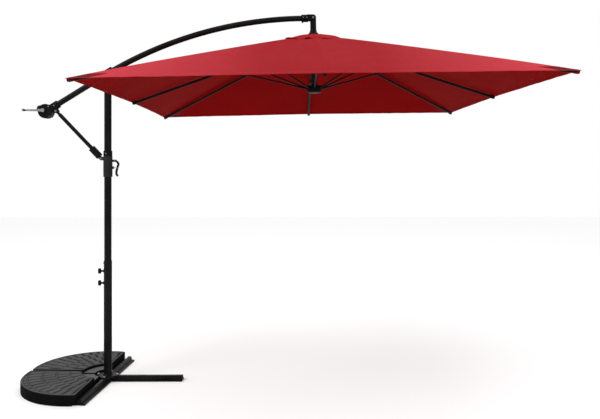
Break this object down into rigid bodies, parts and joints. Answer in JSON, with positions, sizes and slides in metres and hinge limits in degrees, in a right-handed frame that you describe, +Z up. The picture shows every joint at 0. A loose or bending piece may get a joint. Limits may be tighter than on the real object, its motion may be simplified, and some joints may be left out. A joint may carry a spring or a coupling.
{
  "type": "patio umbrella with base",
  "caption": "Cantilever garden umbrella: square canopy hung from a curved side arm on a swivelling mast, with a cross base and quarter-round weights",
  "frame": {"origin": "on the ground, on the mast's axis", "axes": "+X from the mast to the canopy, +Y across, +Z up"},
  "size_m": [3.185, 2.5, 2.4619],
  "materials": {
    "alu": "satin",
    "black_paint": "semi_gloss",
    "black_plastic": "matte",
    "dark_rib": "satin",
    "grey_plastic": "matte",
    "nylon": "matte",
    "red_fabric": "matte",
    "stone": "matte",
    "zinc": "satin"
  },
  "bodies": {
    "base": {"foot_bars": "black_paint", "foot_end_caps": "black_plastic", "mast_flange": "black_paint", "flange_fasteners": "zinc", "weight_plate_front": "stone", "weight_plate_back": "stone", "lower_mast": "black_paint", "mast_bushes": "nylon"},
    "thumb_upper": {"thumb_screw_upper": "black_plastic"},
    "thumb_lower": {"thumb_screw_lower": "black_plastic"},
    "mast": {"upper_mast": "black_paint", "arm_bracket": "black_paint", "arm_pivot_bolt": "zinc"},
    "slider": {"slider_sleeve": "grey_plastic", "slider_ring": "black_plastic", "slider_fasteners": "zinc"},
    "lever": {"slider_lever": "black_plastic"},
    "plunger": {"lock_plunger": "zinc"},
    "strut": {"strut_tube": "black_paint", "strut_socket": "black_plastic"},
    "arm": {"arm_tube": "black_paint", "arm_saddle": "black_plastic", "crank_housing_front": "black_plastic", "crank_housing_back": "black_plastic", "arm_fasteners": "zinc", "elbow_sleeve": "black_plastic"},
    "crank": {"crank_spool": "nylon", "crank_handle": "alu"},
    "grip": {"crank_grip": "black_plastic"},
    "hanger": {"elbow_leg": "black_plastic", "dome_cap": "black_plastic", "canopy_hub": "black_plastic", "hub_pins": "zinc"},
    "runner_link": {"runner_link": "zinc"},
    "runner": {"runner": "black_plastic", "runner_post": "dark_rib"},
    "rib_1": {"rib_1": "dark_rib", "canopy_panel_1": "red_fabric"},
    "stretcher_1": {"stretcher_1": "dark_rib"},
    "rib_2": {"rib_2": "dark_rib", "canopy_panel_2": "red_fabric"},
    "stretcher_2": {"stretcher_2": "dark_rib"},
    "rib_3": {"rib_3": "dark_rib", "canopy_panel_3": "red_fabric"},
    "stretcher_3": {"stretcher_3": "dark_rib"},
    "rib_4": {"rib_4": "dark_rib", "canopy_panel_4": "red_fabric"},
    "stretcher_4": {"stretcher_4": "dark_rib"},
    "rib_5": {"rib_5": "dark_rib", "canopy_panel_5": "red_fabric"},
    "stretcher_5": {"stretcher_5": "dark_rib"},
    "rib_6": {"rib_6": "dark_rib", "canopy_panel_6": "red_fabric"},
    "stretcher_6": {"stretcher_6": "dark_rib"},
    "rib_7": {"rib_7": "dark_rib", "canopy_panel_7": "red_fabric"},
    "stretcher_7": {"stretcher_7": "dark_rib"},
    "rib_8": {"rib_8": "dark_rib", "canopy_panel_8": "red_fabric"},
    "stretcher_8": {"stretcher_8": "dark_rib"}
  },
  "joints": [
    {"name": "thumb_screw_turn_upper", "type": "hinge", "parent": "base", "child": "thumb_upper", "pos_m": [-0.05, 0, 0.734], "axis": [-1, 0, 0], "continuous": true},
    {"name": "thumb_screw_turn_lower", "type": "hinge", "parent": "base", "child": "thumb_lower", "pos_m": [-0.05, 0, 0.654], "axis": [-1, 0, 0], "continuous": true},
    {"name": "mast_swivel", "type": "hinge", "parent": "base", "child": "mast", "pos_m": [0, 0, 0.7], "axis": [0, 0, 1], "continuous": true},
    {"name": "arm_tilt", "type": "hinge", "parent": "mast", "child": "arm", "pos_m": [0, 0, 2.061], "axis": [0, -1, 0], "range_deg": [-18, 4]},
    {"name": "slider_slide", "type": "slide", "parent": "mast", "child": "slider", "axis": [0, 0, 1], "range_m": [-0.0435, 0.192]},
    {"name": "strut_swing", "type": "hinge", "parent": "slider", "child": "strut", "pos_m": [-0.042, 0, 1.489], "axis": [0, -1, 0], "range_deg": [-3.2, 13.4]},
    {"name": "lever_pull", "type": "hinge", "parent": "slider", "child": "lever", "pos_m": [0.05, 0, 1.474], "axis": [0, -1, 0], "range_deg": [0, 12]},
    {"name": "plunger_draw", "type": "slide", "parent": "slider", "child": "plunger", "axis": [1, 0, 0], "range_m": [0, 0.0098]},
    {"name": "hanger_level", "type": "hinge", "parent": "arm", "child": "hanger", "pos_m": [1.379, 0, 2.44], "axis": [0, -1, 0], "range_deg": [-4.2, 18.2]},
    {"name": "canopy_fold", "type": "hinge", "parent": "hanger", "child": "rib_3", "pos_m": [1.38195, 0.038, 2.27903], "axis": [-0.9998, 0, -0.0183], "range_deg": [0, 59.34], "deforming": ["canopy_panel_1", "canopy_panel_2", "canopy_panel_3", "canopy_panel_4", "canopy_panel_5", "canopy_panel_6", "canopy_panel_7", "canopy_panel_8"]},
    {"name": "stretcher_3_pivot", "type": "hinge", "parent": "rib_3", "child": "stretcher_3", "pos_m": [1.38531, 0.58283, 2.0959], "axis": [-0.9998, 0, -0.0183], "range_deg": [-124.31, 0.5]},
    {"name": "link_turn", "type": "hinge", "parent": "stretcher_3", "child": "runner_link", "pos_m": [1.38763, 0.038, 1.96908], "axis": [-0.9998, 0, -0.0183], "range_deg": [-116.03, 0.5]},
    {"name": "runner_pivot", "type": "hinge", "parent": "runner_link", "child": "runner", "pos_m": [1.38783, 0.038, 1.95808], "axis": [-0.9998, 0, -0.0183], "range_deg": [-0.5, 180.5]},
    {"name": "rib_1_fold", "type": "hinge", "parent": "hanger", "child": "rib_1", "pos_m": [1.41994, 0, 2.27972], "axis": [0, 1, 0], "range_deg": [-0.5, 56.96]},
    {"name": "stretcher_1_fold", "type": "hinge", "parent": "runner", "child": "stretcher_1", "pos_m": [1.42583, 0, 1.95878], "axis": [0, 1, 0], "range_deg": [-60.99, 0.5]},
    {"name": "rib_2_fold", "type": "hinge", "parent": "hanger", "child": "rib_2", "pos_m": [1.40882, 0.02687, 2.27952], "axis": [-0.707, 0.7071, -0.013], "range_deg": [-0.5, 71.44]},
    {"name": "stretcher_2_fold", "type": "hinge", "parent": "runner", "child": "stretcher_2", "pos_m": [1.4147, 0.02687, 1.95857], "axis": [-0.707, 0.7071, -0.013], "range_deg": [-64.41, 0.5]},
    {"name": "rib_4_fold", "type": "hinge", "parent": "hanger", "child": "rib_4", "pos_m": [1.35509, 0.02687, 2.27854], "axis": [-0.707, -0.7071, -0.013], "range_deg": [-0.5, 71.44]},
    {"name": "stretcher_4_fold", "type": "hinge", "parent": "runner", "child": "stretcher_4", "pos_m": [1.36097, 0.02687, 1.95759], "axis": [-0.707, -0.7071, -0.013], "range_deg": [-64.41, 0.5]},
    {"name": "rib_5_fold", "type": "hinge", "parent": "hanger", "child": "rib_5", "pos_m": [1.34396, 0, 2.27833], "axis": [0, -1, 0], "range_deg": [-0.5, 56.96]},
    {"name": "stretcher_5_fold", "type": "hinge", "parent": "runner", "child": "stretcher_5", "pos_m": [1.34984, 0, 1.95738], "axis": [0, -1, 0], "range_deg": [-60.99, 0.5]},
    {"name": "rib_6_fold", "type": "hinge", "parent": "hanger", "child": "rib_6", "pos_m": [1.35509, -0.02687, 2.27854], "axis": [0.707, -0.7071, 0.013], "range_deg": [-0.5, 71.44]},
    {"name": "stretcher_6_fold", "type": "hinge", "parent": "runner", "child": "stretcher_6", "pos_m": [1.36097, -0.02687, 1.95759], "axis": [0.707, -0.7071, 0.013], "range_deg": [-64.41, 0.5]},
    {"name": "rib_7_fold", "type": "hinge", "parent": "hanger", "child": "rib_7", "pos_m": [1.38195, -0.038, 2.27903], "axis": [0.9998, 0, 0.0183], "range_deg": [-0.5, 56.96]},
    {"name": "stretcher_7_fold", "type": "hinge", "parent": "runner", "child": "stretcher_7", "pos_m": [1.38783, -0.038, 1.95808], "axis": [0.9998, 0, 0.0183], "range_deg": [-60.99, 0.5]},
    {"name": "rib_8_fold", "type": "hinge", "parent": "hanger", "child": "rib_8", "pos_m": [1.40882, -0.02687, 2.27952], "axis": [0.707, 0.7071, 0.013], "range_deg": [-0.5, 71.44]},
    {"name": "stretcher_8_fold", "type": "hinge", "parent": "runner", "child": "stretcher_8", "pos_m": [1.4147, -0.02687, 1.95857], "axis": [0.707, 0.7071, 0.013], "range_deg": [-64.41, 0.5]},
    {"name": "crank_turn", "type": "hinge", "parent": "arm", "child": "crank", "pos_m": [-0.419, -0.04, 1.809], "axis": [0, 1, 0], "range_deg": [0, 3121]},
    {"name": "grip_spin", "type": "hinge", "parent": "crank", "child": "grip", "pos_m": [-0.538, -0.06, 1.809], "axis": [0, 1, 0], "continuous": true}
  ],
  "couplings": [
    {"joint": "stretcher_3_pivot", "follows": "canopy_fold", "ratio": -2.0866},
    {"joint": "link_turn", "follows": "canopy_fold", "ratio": -1.947},
    {"joint": "runner_pivot", "follows": "canopy_fold", "ratio": 3.0336},
    {"joint": "rib_1_fold", "follows": "canopy_fold", "ratio": 0.95151},
    {"joint": "stretcher_1_fold", "follows": "canopy_fold", "ratio": -1.0195},
    {"joint": "rib_2_fold", "follows": "canopy_fold", "ratio": 1.1955},
    {"joint": "stretcher_2_fold", "follows": "canopy_fold", "ratio": -1.0771},
    {"joint": "rib_4_fold", "follows": "canopy_fold", "ratio": 1.1955},
    {"joint": "stretcher_4_fold", "follows": "canopy_fold", "ratio": -1.0771},
    {"joint": "rib_5_fold", "follows": "canopy_fold", "ratio": 0.95151},
    {"joint": "stretcher_5_fold", "follows": "canopy_fold", "ratio": -1.0195},
    {"joint": "rib_6_fold", "follows": "canopy_fold", "ratio": 1.1955},
    {"joint": "stretcher_6_fold", "follows": "canopy_fold", "ratio": -1.0771},
    {"joint": "rib_7_fold", "follows": "canopy_fold", "ratio": 0.95151},
    {"joint": "stretcher_7_fold", "follows": "canopy_fold", "ratio": -1.0195},
    {"joint": "rib_8_fold", "follows": "canopy_fold", "ratio": 1.1955},
    {"joint": "stretcher_8_fold", "follows": "canopy_fold", "ratio": -1.0771},
    {"joint": "slider_slide", "follows": "arm_tilt", "m_per_rad": -0.60655},
    {"joint": "strut_swing", "follows": "arm_tilt", "ratio": -0.73193},
    {"joint": "hanger_level", "follows": "arm_tilt", "ratio": -1},
    {"joint": "plunger_draw", "follows": "lever_pull", "m_per_rad": 0.046},
    {"joint": "crank_turn", "follows": "canopy_fold", "ratio": 52.583}
  ]
}
